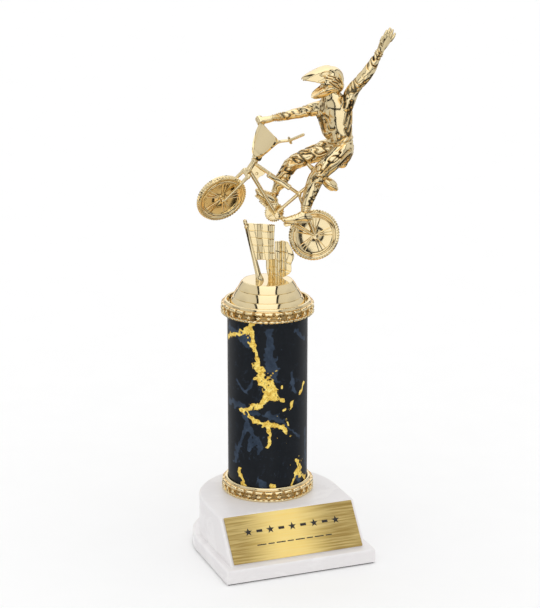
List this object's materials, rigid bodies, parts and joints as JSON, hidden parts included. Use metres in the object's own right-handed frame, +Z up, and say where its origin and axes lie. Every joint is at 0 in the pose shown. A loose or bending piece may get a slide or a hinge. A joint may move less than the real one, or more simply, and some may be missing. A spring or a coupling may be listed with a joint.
{
  "type": "column trophy",
  "caption": "Award trophy: a bicycle rider figure on a stepped pedestal over a marbled round column with gold trim rings, on a white base with a nameplate.",
  "frame": {"origin": "on the column's axis, at the plane the trophy rests on", "axes": "+Z up along the column, -Y towards the nameplate, +X to the right of a person facing the nameplate"},
  "size_m": [0.1131, 0.0937, 0.2881],
  "materials": {
    "felt": "matte black felt",
    "white_marble": "satin white synthetic marble",
    "brushed_gold_plate": "brushed, lacquered gold",
    "adhesive": "double-sided tape",
    "zinc_steel": "zinc plated",
    "ring_gold": "vacuum-metallised bright gold",
    "column_plastic": "moulded",
    "marble_film": "printed film, near-black with gold veins, satin gloss",
    "insert_brass": "turned",
    "pedestal_gold": "vacuum-metallised bright gold",
    "flag_gold": "vacuum-metallised bright gold",
    "bicycle_gold": "vacuum-metallised bright gold",
    "rider_gold": "vacuum-metallised bright gold",
    "helmet_gold": "vacuum-metallised bright gold"
  },
  "bodies": {
    "root": {"base_felt": "felt", "marble_base": "white_marble", "nameplate": "brushed_gold_plate", "plate_adhesive": "adhesive", "rod_washer": "zinc_steel", "rod_nut": "zinc_steel", "threaded_rod": "zinc_steel", "bottom_trim_ring": "ring_gold", "top_trim_ring": "ring_gold", "column_tube": "column_plastic", "column_wrap": "marble_film", "pedestal_insert": "insert_brass", "figure_pedestal": "pedestal_gold", "flag_pole": "flag_gold", "front_flag": "flag_gold", "rear_flag": "flag_gold", "bike_frame": "bicycle_gold", "fork": "bicycle_gold", "handlebar": "bicycle_gold", "bar_grips": "bicycle_gold", "number_plate": "bicycle_gold", "front_wheel": "bicycle_gold", "rear_wheel": "bicycle_gold", "top_tube_pad": "bicycle_gold", "chainring": "bicycle_gold", "crank_set": "bicycle_gold", "pedals": "bicycle_gold", "saddle": "bicycle_gold", "rider_torso": "rider_gold", "left_arm": "rider_gold", "right_arm": "rider_gold", "left_leg": "rider_gold", "right_leg": "rider_gold", "left_shoe": "rider_gold", "right_shoe": "rider_gold", "left_hand": "rider_gold", "right_hand": "rider_gold", "rider_head": "rider_gold", "helmet": "helmet_gold", "helmet_visor": "helmet_gold"}
  },
  "joints": []
}
